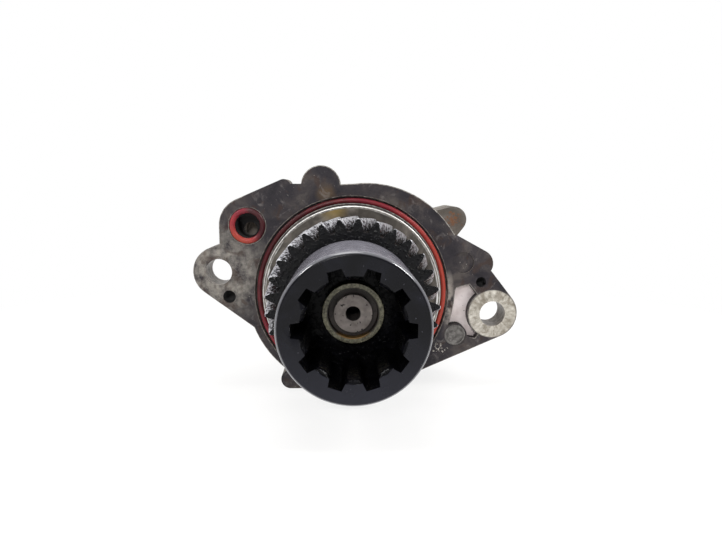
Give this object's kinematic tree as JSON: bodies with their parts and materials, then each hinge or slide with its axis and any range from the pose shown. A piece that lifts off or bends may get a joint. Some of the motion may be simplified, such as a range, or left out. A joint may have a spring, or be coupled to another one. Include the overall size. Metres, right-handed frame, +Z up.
{
  "type": "vacuum pump",
  "caption": "Gear-driven vane vacuum pump: cast flange housing with spigot and O-rings, helical gear, splined hub, rear cover and hose union.",
  "frame": {"origin": "on the shaft axis, in the mounting face of the flange", "axes": "-Y along the shaft towards the gear and hub, +Z up as the pump stands on its feet, +X to the right seen from the gear end"},
  "size_m": [0.1384, 0.1696, 0.0959],
  "materials": {
    "housing_casting": "cast, dark with oil film",
    "cover_casting": "cast, dull grey",
    "gear_steel": "ground flanks, oily",
    "blackened_steel": "blackened, oily sheen",
    "red_rubber": "smooth",
    "black_rubber": "smooth",
    "plug_steel": "dull",
    "bushing_bronze": "turned",
    "plated_steel": "zinc plated",
    "bearing_steel": "ground",
    "spring_steel": "spring tempered",
    "seal_aluminium": "soft annealed",
    "valve_plastic": "moulded",
    "shaft_steel": "turned end",
    "collar_steel": "phosphated",
    "rotor_steel": "ground",
    "vane_composite": "carbon composite"
  },
  "bodies": {
    "housing": {"pump_housing": "housing_casting", "pilot_o_ring": "red_rubber", "oil_port_o_ring": "red_rubber", "gallery_plug": "plug_steel", "rear_cover": "cover_casting", "cover_seal": "black_rubber", "rear_bushing": "bushing_bronze", "cover_bolts": "plated_steel", "cover_dowels": "plug_steel", "bearing_outer_ring": "bearing_steel", "bearing_circlip": "spring_steel", "vacuum_union": "plated_steel", "union_seal": "seal_aluminium", "valve_retainer": "spring_steel", "valve_spring": "spring_steel", "reed_tail": "spring_steel", "reed_stop": "plug_steel", "reed_screw": "plated_steel"},
    "drive": {"drive_shaft": "shaft_steel", "hub_key": "plug_steel", "rotor_key": "plug_steel", "locking_collar": "collar_steel", "spline_hub": "blackened_steel", "driven_gear": "gear_steel", "rotor": "rotor_steel", "bearing_inner_ring": "bearing_steel"},
    "ball_cage": {"bearing_balls": "bearing_steel", "bearing_cage": "bearing_steel"},
    "vane_a": {"vane_1": "vane_composite"},
    "vane_b": {"vane_2": "vane_composite"},
    "vane_c": {"vane_3": "vane_composite"},
    "poppet": {"valve_poppet": "valve_plastic"},
    "reed": {"outlet_reed": "spring_steel"}
  },
  "joints": [
    {"name": "rotor_spin", "type": "hinge", "parent": "housing", "child": "drive", "pos_m": [0, 0, 0], "axis": [0, 1, 0], "continuous": true},
    {"name": "cage_spin", "type": "hinge", "parent": "housing", "child": "ball_cage", "pos_m": [0, 0.009, 0], "axis": [0, 1, 0], "continuous": true},
    {"name": "vane_a_slide", "type": "slide", "parent": "drive", "child": "vane_a", "axis": [0, 0, 1], "range_m": [-0.0035, 0]},
    {"name": "vane_b_slide", "type": "slide", "parent": "drive", "child": "vane_b", "axis": [-0.866, 0, 0.5], "range_m": [0, 0.0015]},
    {"name": "vane_c_slide", "type": "slide", "parent": "drive", "child": "vane_c", "axis": [-0.866, 0, -0.5], "range_m": [-0.0015, 0]},
    {"name": "poppet_lift", "type": "slide", "parent": "housing", "child": "poppet", "axis": [0, -1, 0], "range_m": [0, 0.0025], "stiffness_N_per_m": 150, "springref_m": -0.003, "deforming": ["valve_spring"]},
    {"name": "reed_lift", "type": "hinge", "parent": "housing", "child": "reed", "pos_m": [0.004, 0.00478, -0.0274], "axis": [0, 0, 1], "range_deg": [0, 4.5], "stiffness_Nm_per_rad": 0.01, "springref_deg": -2.86}
  ],
  "couplings": [
    {"joint": "cage_spin", "follows": "rotor_spin", "ratio": 0.397}
  ]
}
